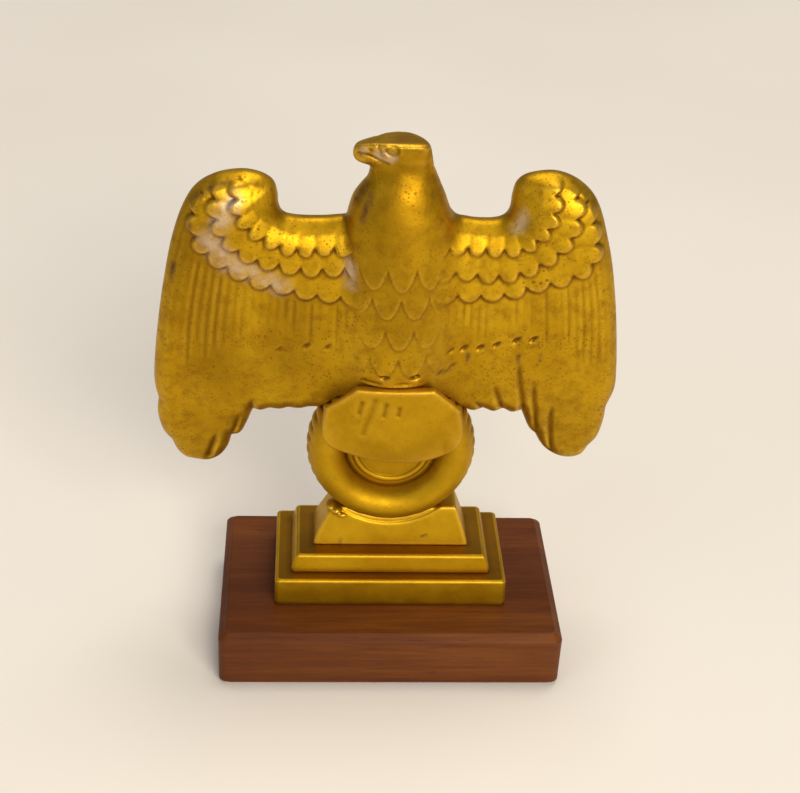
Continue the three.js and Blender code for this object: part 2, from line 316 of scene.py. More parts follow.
def shade_from_field(piece, values, low, step):
    """Gives the mesh the field's own normals, so that two pieces cut from one shape meet without a seam."""
    mesh = piece.data
    places = read_places(mesh)
    slope = np.stack(np.gradient(values), axis=-1)
    normals = sampled(slope, low, step, places)
    normals /= np.linalg.norm(normals, axis=1, keepdims=True) + 1e-12
    corner_points = np.empty(len(mesh.loops), np.int64)
    mesh.loops.foreach_get("vertex_index", corner_points)
    corner_normals = normals[corner_points]
    for face in mesh.polygons:
        if not face.use_smooth:
            corner_normals[face.loop_start:face.loop_start + face.loop_total] = face.normal
    mesh.normals_split_custom_set(corner_normals.tolist())
    # Browner in the field's hollows and lighter on its crests: grime and painted shade, wear and painted
    # highlight.
    passes = round(HOLLOW_REACH / step) ** 2
    store_grime_and_shade(mesh, -HOLLOW_GAIN * sampled(blurred(values, passes), low, step, places))
    store_places(mesh, places)


def nearness(points, start, end, radius):
    """1 on the line between two points, fading to 0 over the radius."""
    start, end = np.array(start, float), np.array(end, float)
    along = end - start
    share = np.clip(((points - start) @ along) / max(along @ along, 1e-9), 0, 1)
    away = np.linalg.norm(points - start - share[:, None] * along, axis=1)
    return ease(1 - away / radius)


# Where the gilding is paler, a line and a radius each: wear with painted highlights among it; where darker:
# stains, with painted shade on the neck's left side; and broad painted shade on the neck and left wing, with
# darker bands along the wing tops.
WORN_AND_HIGHLIT = [
    ((-46, -3, 145), (-52, -3, 134), 4.5), ((-52, -3, 134), (-47, -3, 127), 5.5),
    ((-47, -3, 127), (-33, -3, 120), 4.5), ((-14.6, -4, 128), (-14.2, -5, 122), 3.4),
    ((31, -2, 142), (30, -2, 139), 3.5), ((-11.8, -2.5, 160.8), (-11.6, -2.5, 160.4), 1.5),
    ((-8.6, -3.4, 159.6), (-4.6, -4, 158.8), 2.2), ((-12.6, -2.2, 160.4), (-12.0, -2.5, 160.0), 1.6),
]
STAINS_AND_SHADE = [
    ((-57.4, -2.5, 137.6), (-58.4, -2.5, 134.6), 1.8), ((-62.3, -1, 125.6), (-62.5, -1, 121), 1.9),
    ((-26.6, -4, 116.2), (-24.8, -4, 116.4), 1.0), ((-19, -4, 114.6), (-18.9, -4, 114.5), 0.9),
    ((-11.6, -2, 152.4), (-13.6, -2, 146), 2.6), ((-10, -5, 148.5), (-12, -6, 142), 2.2),
    ((-45.6, 0, 150.6), (-56, 0, 145.4), 1.8), ((45, 0, 151), (50, 0, 147), 1.6),
    ((33.6, -2.4, 98.8), (34.0, -2.4, 96.2), 1.1), ((39.8, -2.4, 99.2), (39.8, -2.4, 97), 0.9),
    ((39.9, -2.2, 88.9), (39.9, -2.2, 88.3), 0.9), ((49.9, -1.8, 80.8), (49.9, -1.8, 78.8), 1.1),
    ((19.4, -2.5, 99), (19.0, -2.5, 95.5), 1.1), ((11.8, -3.6, 93), (15.4, -2.8, 94.6), 1.2),
    ((-15.3, -5.4, 34), (-15.1, -5.2, 35.4), 1.0), ((9.4, -4.9, 36.4), (10.6, -4.9, 36.8), 0.9),
]
# Broad painted shade on the neck and the left wing, and darker bands along the wing tops.
SHADE_AND_TARNISH = [
    ((-4, -6, 158), (-6, -9, 128), 18), ((-0.5, -9, 124), (-0.5, -9, 110), 15),
    ((-13, 2, 141.5), (-37, 2, 141), 6), ((13, 2, 142), (27, 2, 141.5), 6),
    ((-57, -3, 128), (-50, -3, 92), 16), ((-30, -4, 112), (-30, -4, 95), 14),
]


def store_places(mesh, places):
    for name, lines in (("worn_and_highlit", WORN_AND_HIGHLIT), ("stains_and_shade", STAINS_AND_SHADE), ("shade_and_tarnish", SHADE_AND_TARNISH)):
        amount = np.max([nearness(places, *line) for line in lines], axis=0)
        layer = mesh.attributes.new(name, "FLOAT", "POINT")
        layer.data.foreach_set("value", amount.astype(np.float32))


# How the carved castings are browned in hollows (grime and painted shade) and lightened on crests (wear and
# painted highlight).
HOLLOW_REACH = 0.9  # mm around a point that count as its neighbourhood
HOLLOW_GAIN = 1.6


def carve(name, field, low, high, step, cuts=()):
    """A casting made from its field. Each cut is the x of an upright plane and the side that stays."""
    low, high = np.array(low, float), np.array(high, float)
    size = np.ceil((high - low) / step).astype(int) + 1
    x = (low[0] + step * np.arange(size[0]))[:, None, None]
    y = (low[1] + step * np.arange(size[1]))[None, :, None]
    z = (low[2] + step * np.arange(size[2]))[None, None, :]
    values = np.array(np.broadcast_to(field(x, y, z), tuple(size)))
    points, quads = net_surface(values, low, step)
    piece = mesh_object(name, points, quads)
    for plane, keep_right in cuts:
        trim(piece, plane, keep_right)
    shade_from_field(piece, values, low, step)
    return piece


# ------------------------------------------------------------------ feathers


SCALLOP_ROUND = 2.3  # 1 is a sharp V, more is rounder


def scallop(phase):
    """0 between two feathers and 1 at a feather's tip, a rounded V."""
    return 1 - np.abs(2 * (phase % 1) - 1) ** SCALLOP_ROUND


# Each wing's outline, from the middle of the trunk around the shoulder and the tip and back.
LEFT_WING = outline(
    [(0, 138.6), (-14, 138.7), (-22, 138.0), (-29, 138.0), (-32.6, 138.9), (-34, 141.6), (-34.3, 145),
     (-35.5, 148.4), (-39, 150.6), (-44, 151.4), (-50.3, 150.2), (-55.6, 147), (-59.2, 141.5),
     (-62.3, 132.5), (-65.1, 120), (-67.3, 106), (-68.9, 92), (-69, 85.6), (-68.2, 81.2)],
    [(-68.2, 81.2), (-68.7, 76), (-67.6, 70.8), (-65.1, 67.3)],
    [(-65.1, 67.3), (-63.7, 63.8), (-61.4, 61.3), (-58.3, 60.4)],
    [(-58.3, 60.4), (-54.8, 60.1), (-51.2, 61.8), (-48.8, 65.2), (-47.5, 69.2)],
    [(-47.5, 69.2), (-45.1, 69.8), (-43.3, 72.6), (-41.1, 77.9)],
    [(-41.1, 77.9), (-39, 77.3), (-36.4, 78.2)],
    [(-36.4, 78.2), (-33.6, 77.8), (-31, 78.5)],
    [(-31, 78.5), (-28, 78.1), (-25, 78.8)],
    [(-25, 78.8), (-12, 78.9), (0, 79)],
)
RIGHT_WING = outline(
    [(0, 138.6), (14, 138.9), (19, 138.3), (24, 138.3), (27, 139.4), (28.3, 142), (28.6, 145.6),
     (29.6, 149.4), (32.6, 151.8), (38.5, 152.9), (43, 152.1), (47.1, 149.9), (50.8, 146.2), (53.4, 141),
     (55.8, 133), (58.1, 124.4), (60.1, 114), (61.7, 103), (62.9, 93), (63.2, 86.4), (61.6, 80.2)],
    [(61.6, 80.2), (61.5, 75), (60.5, 70), (58.3, 66.8)],
    [(58.3, 66.8), (56.7, 63.8), (53.6, 62.5), (49.6, 63), (45.8, 65.3), (43.4, 68), (41.8, 70.6)],
    [(41.8, 70.6), (39.7, 72.4), (38.2, 75.2), (36.7, 78.5)],
    [(36.7, 78.5), (34, 77.7), (31.2, 79)],
    [(31.2, 79), (28.5, 77.9), (25.4, 79.1)],
    [(25.4, 79.1), (22.6, 78.1), (19.8, 79)],
    [(19.8, 79), (10, 78.8), (0, 79)],
)

# The three rows of covert feathers: each guide runs from the trunk out and around the wrist.
LEFT_ROWS = [
    spline([(-4, 130), (-14.5, 130), (-20.5, 130.2), (-27, 129.8), (-32.5, 130.6), (-37.5, 133.2),
            (-42, 136.6), (-45, 141), (-46, 145.8), (-45, 150), (-42, 154)]),
    spline([(-4, 124.4), (-14.5, 124.4), (-20, 124.4), (-26.5, 124.3), (-33.5, 125.4), (-39.5, 126.8),
            (-44, 129), (-47.5, 131.8), (-50, 135.6), (-51.5, 140.4), (-51.6, 145), (-49.5, 149.6),
            (-46, 154)]),
    spline([(-4, 116), (-14.5, 116.2), (-20.5, 116.6), (-26.5, 117.4), (-32.5, 118.9), (-39.5, 120.6),
            (-47, 124.2), (-53, 128.2), (-55.7, 131.2), (-57, 135.8), (-57, 141), (-55.5, 145.6),
            (-51, 151)]),
]
RIGHT_ROWS = [
    spline([(2, 132), (9.5, 131.8), (16, 131.2), (22, 130.8), (29, 131), (33, 132.2), (36, 134.8),
            (38.5, 137.8), (39.8, 141.2), (40.5, 145), (40.5, 148.6), (39.5, 152.2), (37, 156)]),
    spline([(2, 125), (10, 124.8), (17, 124.1), (22.5, 123.5), (29, 123.8), (34.5, 125.6), (38, 127.7),
            (41.5, 130.4), (44.5, 134.2), (46.2, 138.8), (46.8, 143.4), (46, 148), (44.5, 151.8),
            (41, 156)]),
    spline([(2, 118.4), (10.5, 118.2), (18, 117.5), (23.5, 117.7), (29.5, 118.5), (35.5, 120.5),
            (41.5, 122), (46.5, 123.8), (50.5, 126), (52.7, 129.2), (52.7, 133.4), (51.8, 138.6),
            (50, 144.2), (46, 152)]),
]
ROW_WIDTHS = (5.0, 6.0, 6.5)  # of one feather in each row
ROW_DEPTH = 2.5  # how far a feather's tip reaches past its neighbours' corner
ROW_STEP = 1.0  # thickness of a feather's edge
LEAD_IN = 7.0  # the first row rises over this length

rng = np.random.default_rng(7)
LINE_COUNT = 23
LINE_SPREAD = 50.0  # mm across a wing that the lines share
LINE_DEPTH = 0.36
LINE_WIDTH = 0.42
PARTING_DEPTH = 0.8  # of the grooves between long feathers
PARTING_WIDTH = 0.85
LINE_STRENGTH = {-1: rng.uniform(0.1, 1.0, LINE_COUNT + 2), 1: rng.uniform(0.1, 1.0, LINE_COUNT + 2)}
LINE_END = {-1: rng.uniform(-5, 3, LINE_COUNT + 2), 1: rng.uniform(-5, 3, LINE_COUNT + 2)}


def covert_rows(x, z, side, rows):
    """Overlapping feathers: each row rises to its scalloped edge and drops to the next one."""
    distances, edges = [], 0
    for guide, width in zip(rows, ROW_WIDTHS):
        past, length = along_curve(x, z, guide)
        past = past * side
        tips = ROW_DEPTH * (scallop(length / width) - 0.55)
        edges = edges + ease((past - tips) / 1.4 + 0.5)
        crown = 0.14 * scallop(length / width)
        distances.append((past, crown))
    first, second, third = (past for past, _ in distances)
    progress = np.where(first < 0, np.clip(1 + first / LEAD_IN, 0, 1), 0)
    progress = np.where((first >= 0) & (second < 0), 1 + first / (first - second + 1e-6), progress)
    progress = np.where((second >= 0) & (third < 0), 2 + second / (second - third + 1e-6), progress)
    progress = np.where(third >= 0, 3, progress)
    crown = np.where(first < 0, distances[0][1], np.where(second < 0, distances[1][1], distances[2][1]))
    crown = crown * ((progress > 0.3) & (progress < 2.99))
    return ROW_STEP * (progress - edges) + crown, third


def fan(x, z, side):
    """0 at the trunk and 1 at the wing's outer edge, so that lines of one value fan out."""
    outer = np.where(z > 88, 69.2 - 10.0 * ((z - 88) / 54) ** 2, 69.2 - 0.6 * (88 - z) / 10)
    outer = outer - (6.0 if side > 0 else 0.0)
    return (side * x - 13) / (outer - 13)


FLIGHT_GROOVES = {
    -1: [
        [(-45.0, 78.5), (-46.1, 73.7), (-47.7, 69.0)],
        [(-51.2, 72.0), (-53.6, 65.2), (-54.2, 62.5)],
        [(-41.0, 84.0), (-41.6, 80.0), (-41.0, 77.0)],
        [(-57.6, 64.0), (-58.3, 60.5), (-58.4, 57.0)],
    ],
    1: [
        [(27.2, 90.0), (29.2, 84.0), (31.2, 78.5)],
        [(33.8, 97.5), (34.6, 91.5), (35.8, 85.5), (37.0, 79.5), (39.0, 73.0)],
        [(38.6, 90.5), (39.6, 84.0), (40.7, 77.0), (41.6, 70.0)],
        [(44.9, 83.0), (45.4, 74.0), (47.4, 63.0)],
        [(22.0, 84.0), (24.0, 81.0), (25.4, 78.5)],
    ],
}


def wing_relief(x, z, side, rows):
    relief, third = covert_rows(x, z, side, rows)
    share = fan(x, z, side)
    phase = share * LINE_COUNT
    nearest_line = np.clip(np.round(phase).astype(int), 0, LINE_COUNT + 1)
    spacing = LINE_SPREAD / LINE_COUNT
    off_line = np.abs(phase - nearest_line) * spacing
    line_end = 103 - 14 * ease(share * 1.6 - 0.7) + LINE_END[side][nearest_line]
    reach = ease((third - 1.0) / 2.5) * ease((z - line_end) / 8.0)
    strength = LINE_STRENGTH[side][nearest_line]
    relief = relief - LINE_DEPTH * strength * np.exp(-((off_line / LINE_WIDTH) ** 2)) * reach
    # Where two long flight feathers part, near the wing's lower edge.
    for points in FLIGHT_GROOVES[side]:
        curve = spline(points)
        past, length = along_curve(x, z, curve)
        upper_end = ease(length / 5.0)
        relief = relief - PARTING_DEPTH * np.exp(-((past / PARTING_WIDTH) ** 2)) * upper_end
    return relief


NOTCHES = [(14.2, 100.8, 0.8), (18.0, 101.3, 1.0), (22.6, 101.5, 1.0), (27.2, 102.5, 1.0),
           (32.6, 104.0, 1.2), (37.4, 104.4, 1.2), (-33.5, 100.0, 0.5), (-26.0, 101.2, 0.7),
           (-20.0, 101.0, 0.6), (15.0, 95.5, 0.6), (11.5, 94.0, 0.7)]


def notch_pits(x, z):
    """The small slanting pits in a row below the long lines."""
    total = 0
    for centre_x, centre_z, depth in NOTCHES:
        u = (x - centre_x) * 0.82 + (z - centre_z) * 0.57
        v = (z - centre_z) * 0.82 - (x - centre_x) * 0.57
        total = total + 0.8 * depth * np.exp(-((u / 1.35) ** 2 + (v / 0.62) ** 2) ** 1.5)
    return total


SHOULDER_X = {-1: -42.5, 1: 38.0}
SHOULDER_Z = 141
SHOULDER_REACH = 13
SHOULDER_SWELL = 1.3
SETBACK_DROP = 0.62  # the outlines are drawn flat: a point set back by 1 lies this much lower


def wing_field(x, y, z, side):
    shape, rows = (LEFT_WING, LEFT_ROWS) if side < 0 else (RIGHT_WING, RIGHT_ROWS)
    half = through(z, (55, 2.9), (70, 3.6), (90, 4.6), (115, 5.2), (140, 5.4), (160, 5.0))
    setback = 2.6 * np.clip((z - 112) / 40, -1.3, 1.2) ** 2
    middle = RING_Y + setback
    z = z + SETBACK_DROP * setback + 0.9 * ease((76 - z) / 14) - 1.1 * ease((z - 118) / 14)
    edge = outline_distance(x, z, shape)
    across, up = (x - SHOULDER_X[side]) / SHOULDER_REACH, (z - SHOULDER_Z) / SHOULDER_REACH
    half = half + SHOULDER_SWELL * np.exp(-(across**2) - up**2)
    rim = through(z, (55, 3.4), (75, 4.2), (105, 5.5), (122, 8.0), (136, 11.0), (160, 11.5))
    slab = rounded_slab(edge, y - middle, half, 0.94 * half, rim)
    relief = wing_relief(x, z, side, rows) * ease((-edge - 0.3) / 2.6)
    front = notch_pits(x, z) * (y < middle)
    return slab - relief + front


# ------------------------------------------------------------------ trunk, head and tail

TAIL_DEPTH = 4.6  # from the tail's front to the face of the trunk behind it
BREAST_X = -0.7
BREAST_WIDTH = 7.8
BREAST_TIPS = (122.6, 113.8, 103.8, 94.4)
BREAST_RELIEF = 0.34
BACK_ROWS = 9
BACK_TOP = 148
BACK_ROW_HEIGHT = 6.4
BACK_WIDTH = 5.6
BACK_RELIEF = 0.55


def breast_relief(x, z):
    """Long overlapping feathers on the tail side of the trunk."""
    edges, progress = 0, 0
    for row, tip in enumerate(BREAST_TIPS):
        phase = (x - BREAST_X) / BREAST_WIDTH + 0.5 * (row % 2) + 0.5
        edge = tip + 6.6 * np.abs(2 * (phase % 1) - 1) ** 2.2
        edges = edges + ease((edge - z) / 1.1 + 0.5)
        progress = progress + ease((tip + 9 - z) / 9.5)
    fade = ease((13 - np.abs(x - BREAST_X)) / 4) * ease((z - 91.5) / 2)
    return BREAST_RELIEF * (progress - edges) * fade


def back_relief(x, z):
    """Smaller feathers all over the breast on the far side."""
    edges, progress = 0, 0
    for row in range(BACK_ROWS):
        tip = BACK_TOP - BACK_ROW_HEIGHT * row
        phase = (x - BREAST_X) / BACK_WIDTH + 0.5 * (row % 2)
        edge = tip + 2.6 * (1 - scallop(phase))
        edges = edges + ease((edge - z) / 0.6 + 0.5)
        progress = progress + ease((tip + 6 - z) / BACK_ROW_HEIGHT)
    return BACK_RELIEF * (progress - edges) * ease((12 - np.abs(x - BREAST_X)) / 4)


def trunk_field(x, y, z):
    centre_x = through(z, (80, -1.2), (112, -1.1), (134, -1.4), (140.4, -1.5), (143, -1.7), (146, -1.8),
                       (149.5, -1.4), (151.6, -1.0), (156, -1.0), (160, -0.8), (164, -0.8))
    half_x = through(z, (80, 11), (93, 11.2), (103, 12.4), (113, 13.7), (125, 14.4), (135, 14.6),
                     (140.4, 14.2), (143, 13.5), (146, 12.5), (148, 11.5), (149.5, 10.6), (151.6, 9.3),
                     (153.7, 8.4), (156, 7.4), (158.6, 6.5), (160, 6.2), (164, 6.0))
    half_y = through(z, (80, 8.2), (93, 9.2), (103, 10.2), (113, 10.9), (125, 11.2), (135, 10.7),
                     (140, 10.1), (147, 8.3), (153, 5.9), (158, 4.7), (164, 4.4))
    centre_y = 1.1
    across, deep = (x - centre_x) / half_x, (y - centre_y) / half_y
    reach = np.sqrt(across**2 + deep**2) + 1e-9
    slope = np.sqrt((across / half_x) ** 2 + (deep / half_y) ** 2) + 1e-9
    column = reach * (reach - 1) / slope
    column = smooth_max(column, z - 161.0, 2.0)
    front = breast_relief(x, z) * ease((-2 - y) / 3)
    behind = back_relief(x, z) * ease((y - 3) / 3)
    return column - front - behind


HEAD = outline(
    [(-9.4, 150), (-9.5, 153.6), (-10.2, 155.2), (-12, 155.9), (-13.8, 156.7), (-14.6, 158.3),
     (-14.3, 160.2), (-13.2, 161.3), (-11, 161.9), (-8.2, 162.3), (-4, 162.6), (0, 162.7), (3.2, 162.5),
     (5.0, 161.9), (5.5, 160.6), (5.9, 159.2), (6.2, 157.2), (6.2, 155.4), (5.2, 150)],
    [(5.2, 150), (-9.4, 150)],
)
EYE = (-4.6, 160.9)


def groove(x, z, points, width):
    past, _ = along_curve(x, z, spline(points))
    return np.exp(-((past / width) ** 2))


def face_relief(x, z):
    """The eye with its ring, the brow over it, the gape and the nostril."""
    u, v = x - EYE[0], z - EYE[1]
    around = np.sqrt((u / 1.55) ** 2 + (v / 1.15) ** 2)
    relief = -0.4 * np.exp(-(((around - 1) / 0.28) ** 2)) + 0.2 * np.exp(-(((around - 1.6) / 0.3) ** 2))
    relief = relief + 0.5 * groove(x, z, [(-6.0, 162.0), (-1, 162.2), (5.2, 161.9)], 0.5)
    relief = relief - 0.35 * groove(x, z, [(-8.2, 162.2), (-8.1, 161.2), (-7.6, 160.4)], 0.4)
    gape = [(-13.4, 159.3), (-10.6, 159.0), (-8.2, 158.1), (-5.4, 157.1)]
    relief = relief - 0.55 * groove(x, z, gape, 0.42)
    relief = relief - 0.5 * np.exp(-(((x + 10.2) / 0.7) ** 2 + ((z - 160.6) / 0.45) ** 2))
    relief = relief - 0.3 * np.exp(-(((x + 7.4) / 1.2) ** 2 + ((z - 159.8) / 0.9) ** 2))
    return relief


def head_field(x, y, z):
    """Flat-crowned, with a straight brow in front and a round crown behind it."""
    edge = outline_distance(x, z, HEAD)
    front = through(x, (-20, -0.6), (-14.6, -1.4), (-12.5, -2.3), (-10, -2.8), (-7.5, -3.5), (-5, -3.9),
                    (1, -4.1), (4.0, -3.7), (5.6, -2.8), (9, -2.2))
    back = through(x, (-20, 0.9), (-14.5, 1.6), (-11, 2.7), (-8, 3.8), (-5.8, 4.8), (-3, 5.3), (0.3, 4.8),
                   (3.1, 2.6), (4.6, 0.6), (5.6, -0.6), (9, -1.2))
    front = front + 2.2 * ease((158.2 - z) / 5.0)
    half = (back - front) / 2
    slab = rounded_slab(edge, y - (front + back) / 2, half, np.minimum(np.abs(half) * 0.8, 1.1))
    return slab - face_relief(x, z) * ease((-edge + 0.1) / 0.8)


def body_details(x, z):
    """The two deep pits between the lowest feathers and the crease over the tail."""
    pits = 0
    for pit_x in (-4.2, 4.4):
        pits = pits + 1.0 * np.exp(-(((x - pit_x) / 1.3) ** 2 + ((z - 94.2) / 0.75) ** 2) ** 1.5)
    creases = 0
    for points in ([(-11, 92.4), (-8, 92.0), (-4.4, 91.9)], [(-1.5, 92.0), (1, 92.2), (3.4, 92.0)]):
        past, length = along_curve(x, z, spline(points))
        ends = ease(length / 1.5) * ease((math.dist(points[0], points[-1]) - length) / 1.5)
        creases = creases + 0.3 * np.exp(-((past / 0.45) ** 2)) * ends
    return pits + creases


def figure_field(x, y, z):
    """The trunk with both wings and the head, as one shape to be cut at the wing roots."""
    left, right = wing_field(x, y, z, -1), wing_field(x, y, z, 1)
    wings = np.minimum(left, right)
    open_side = through(z, (75, 9.0), (105, 9.0), (122, 6.0), (136, 4.0), (145, 1.5))
    creased_side = through(z, (75, 9.0), (105, 8.0), (116, 4.0), (126, 1.4), (145, 1.2))
    blend = creased_side + (open_side - creased_side) * ease(x / 10 + 0.5)
    trunk = smooth_max(trunk_field(x, y, z), RING_Z + RING_OUTER - 12.5 - z, 0.6)
    torso = smooth_min(trunk, wings, blend)
    whole = smooth_min(torso, head_field(x, y, z), 2.4)
    whole = whole + body_details(x, z) * (y < 0)
    behind_tail = smooth_min(tail_low[1] + TAIL_DEPTH - y, 90.8 - z, 0.1)
    whole = np.maximum(whole, np.where(np.abs(x - TAIL_X) < 20.5, behind_tail, -9.0))
    return np.maximum(whole, -ring_field(x, y, z, 0.12))


TAIL = outline(
    [(-11.9, 90.7), (10.2, 90.5)],
    [(10.2, 90.5), (14.6, 86.6), (17.8, 83.4)],
    [(17.8, 83.4), (18.8, 78), (18.9, 73.6), (17.4, 69.6), (13, 66.6), (8, 65.0), (3, 64.5), (-2, 64.9),
     (-8, 66.0), (-14, 67.7), (-18.4, 69.6), (-20.8, 72.8), (-21.2, 77), (-20.4, 83.8)],
    [(-20.4, 83.8), (-16.2, 87.0), (-11.9, 90.7)],
)
TAIL_STREAKS = [
    ([(-6.6, 87.3), (-8.2, 81.5), (-9.6, 76)], 1.05),
    ([(-3.4, 86.0), (-4.0, 82.6)], 0.85),
    ([(0.4, 84.8), (0.1, 82.9)], 0.85),
    ([(-10.3, 86.4), (-11.0, 83.2)], 0.8),
]
TAIL_SHEET = 0.75  # mm of tail over the ring's tube
TAIL_FRONT = -9.6
TAIL_BOW = 0.0055  # how fast the front falls back to the sides
STREAK_DEPTH = 0.45


def tail_field(x, y, z):
    """A bowed apron that lies close on the ring's tube and spans the upper part of its hole."""
    edge = outline_distance(x, z, TAIL)
    bow = TAIL_BOW * (x - TAIL_X) ** 2
    front = TAIL_FRONT + bow - 0.02 * (90 - z) + 2.6 * np.clip((84 - z) / 19, 0, 1.2) ** 2
    from_axis = np.hypot(x - RING_X, z - RING_Z)
    across_tube = np.clip((from_axis - RING_CIRCLE) / RING_TUBE, -1, 1)
    tube_front = RING_Y - RING_HALF_DEPTH * np.sqrt(1 - across_tube**2)
    front = smooth_min(front, tube_front - TAIL_SHEET, 2.4)
    over_tube = ease((from_axis - RING_HOLE - 1.0) / 2.0)
    back = tail_high[1] + 4.0 * over_tube * ease((84 - z) / 3.0)
    shield = smooth_max(front - y, y - back, 0.3)
    shield = smooth_max(shield, edge, 1.0)
    streaks = 0
    for points, width in TAIL_STREAKS:
        streaks = streaks + STREAK_DEPTH * groove(x, z, points, width)
    shield = shield + streaks * (y < tail_high[1] - 1)
    return np.maximum(shield, -ring_field(x, y, z, 0.05))


LEG_GAP = 0.05  # mm between a leg and the trunk


def leg_field(x, y, z, node):
    """A feathered thigh on three toes that hold the ring, cut off at the trunk."""
    low, high = box_mm(node)
    centre = (low + high) / 2
    thigh_top = high[2] - 1
    thigh = ellipsoid(x, y, z, (centre[0], high[1] - 4.7, thigh_top - 8), (5.0, 4.6, 9.4))
    phase = (x - centre[0]) / 3.6
    ruffs = 0
    for row in range(4):
        tip = thigh_top - 3.5 - 4.2 * row
        edge = tip + 1.8 * (1 - scallop(phase + 0.5 * row))
        ruffs = ruffs + 0.4 * (ease((tip + 4.4 - z) / 4.4) - ease((edge - z) / 0.6 + 0.5))
    leg = thigh - ruffs
    for spread in (-3.3, 0, 3.3):
        knuckle = (centre[0] + spread, RING_Y + 8.6, RING_Z + 20.8)
        toe = capsule(x, y, z, (centre[0] + spread * 0.5, RING_Y + 7.4, RING_Z + 24.4), knuckle, 1.7, 1.6)
        claw_end = (centre[0] + spread * 1.15, RING_Y + 9.2, RING_Z + 14.6)
        middle = (centre[0] + spread * 1.1, RING_Y + 9.6, RING_Z + 17.6)
        toe = smooth_min(toe, capsule(x, y, z, knuckle, middle, 1.55, 1.2), 0.5)
        toe = smooth_min(toe, capsule(x, y, z, middle, claw_end, 1.0, 0.25), 0.3)
        leg = smooth_min(leg, toe, 0.7)
    return np.maximum(leg, LEG_GAP - figure_field(x, y, z))


# ------------------------------------------------------------------ lofted pieces


def rounded_loop(width, depth, corner, z, centre=(0.0, 0.0), per_corner=8):
    """Points of a rounded rectangle at one height."""
    corner = max(corner, 0.02)
    points = []
    for quarter, (sx, sy) in enumerate(((1, 1), (-1, 1), (-1, -1), (1, -1))):
        for step in range(per_corner + 1):
            angle = math.pi / 2 * (quarter + step / per_corner)
            points.append((
                centre[0] + sx * (width / 2 - corner) + corner * math.cos(angle),
                centre[1] + sy * (depth / 2 - corner) + corner * math.sin(angle),
                z,
            ))
    return points


def loft(name, loops, depths):
    """A closed piece through loops of equally many points, flat at both ends, with a shade value for each
    loop: more is browner as painted shade, less is lighter as painted highlight and wear.
    """
    count = len(loops[0])
    points = [point for loop in loops for point in loop]
    faces = []
    for level in range(len(loops) - 1):
        for index in range(count):
            following = (index + 1) % count
            faces.append((
                level * count + index, level * count + following,
                (level + 1) * count + following, (level + 1) * count + index,
            ))
    faces.append(tuple(reversed(range(count))))
    faces.append(tuple(range((len(loops) - 1) * count, len(loops) * count)))
    piece = mesh_object(name, points, faces)
    store_grime_and_shade(piece.data, np.repeat(depths, count))
    firm = piece.modifiers.new("firm_faces", "WEIGHTED_NORMAL")
    firm.weight = 100
    firm.keep_sharp = True
    return piece


PAINTED_SHADE_BAND = 1.6  # mm of painted shade on a block's sides above the block it stands on, and on its top around the block standing on it


def soft_block(name, bottom, top, z_low, z_high, corner, edge_low, edge_high, centre, chamfer=0.0, seat=None):
    """A block that may lean in, with rounded or chamfered upper edges.

    Its sides get painted shade at the foot, and a rounded top edge gets a painted highlight and wear. The seat
    is the size of the block that stands on it: then the top gets painted shade, deepest close to that block.
    """
    loops, depths = [], []

    def add(inset, z, depth):
        share = (z - z_low) / (z_high - z_low)
        width = bottom[0] + (top[0] - bottom[0]) * share - 2 * inset
        depth_y = bottom[1] + (top[1] - bottom[1]) * share - 2 * inset
        loops.append(rounded_loop(width, depth_y, corner - inset * 0.5, z, centre))
        depths.append(depth)

    # Painted shade along the foot of the sides, where the block meets the one below.
    for step in range(5):
        angle = math.pi / 2 * step / 4
        add(edge_low * (1 - math.sin(angle)), z_low + edge_low * (1 - math.cos(angle)), 0.26)
    add(0, z_low + min(PAINTED_SHADE_BAND, (z_high - z_low) / 2), 0.04)
    if chamfer:
        rise = chamfer * 0.92
        for share, bow in ((0.0, 0.0), (0.12, 0.03), (0.5, 0.0), (0.88, -0.03), (1.0, 0.0)):
            add(chamfer * (share - bow), z_high - rise + rise * (share + bow * 0.6) - 0.001, 0.0)
        add(chamfer + 0.35, z_high, 0.0)
    else:
        add(0, z_high - edge_high - 0.1, 0.0)
        # A lighter rounded top edge: painted highlight and wear.
        for step in range(6):
            angle = math.pi / 2 * step / 5
            add(edge_high * (1 - math.cos(angle)), z_high - edge_high * (1 - math.sin(angle)), -0.12)
        # The top gets painted shade when a block stands on it.
        add(edge_high + 0.3, z_high, 0.04 if seat is None else 0.3)
    # Painted shade on the top around the block that stands on it.
    if seat is not None:
        for margin, depth in ((PAINTED_SHADE_BAND, 0.3), (0.0, 0.38)):
            width, depth_y = np.array(seat) + 2 * margin
            loops.append(rounded_loop(width, depth_y, corner, z_high, centre))
            depths.append(depth)
    return loft(name, loops, depths)


def make_wood():
    low, high = box_mm("wood_base")
    size = high - low
    return soft_block("wooden_base", size[:2], size[:2], low[2], high[2], 2.4, 0.5, 0, (0, 0), chamfer=2.2)


def make_felt():
    low, high = box_mm("felt_pad")
    size = high - low
    return soft_block("felt_sheet", size[:2], size[:2] + 0.4, low[2], high[2], 2.6, 0.2, 0.1, (0, 0))


def size_of(node):
    low, high = box_mm(node)
    return (high - low)[:2]


def make_foot():
    low, high = box_mm("plinth_foot")
    size, centre = high - low, (low + high) / 2
    return soft_block("foot_casting", size[:2], size[:2] - 0.5, low[2], high[2], 1.4, 0.5, 0.8, centre,
                      seat=size_of("plinth_step"))


def make_step():
    low, high = box_mm("plinth_step")
    size, centre = high - low, (low + high) / 2
    return soft_block("step_casting", size[:2], size[:2] - (3.4, 1.8), low[2], high[2], 1.1, 0.3, 0.8, centre,
                      seat=size_of("plinth_saddle"))


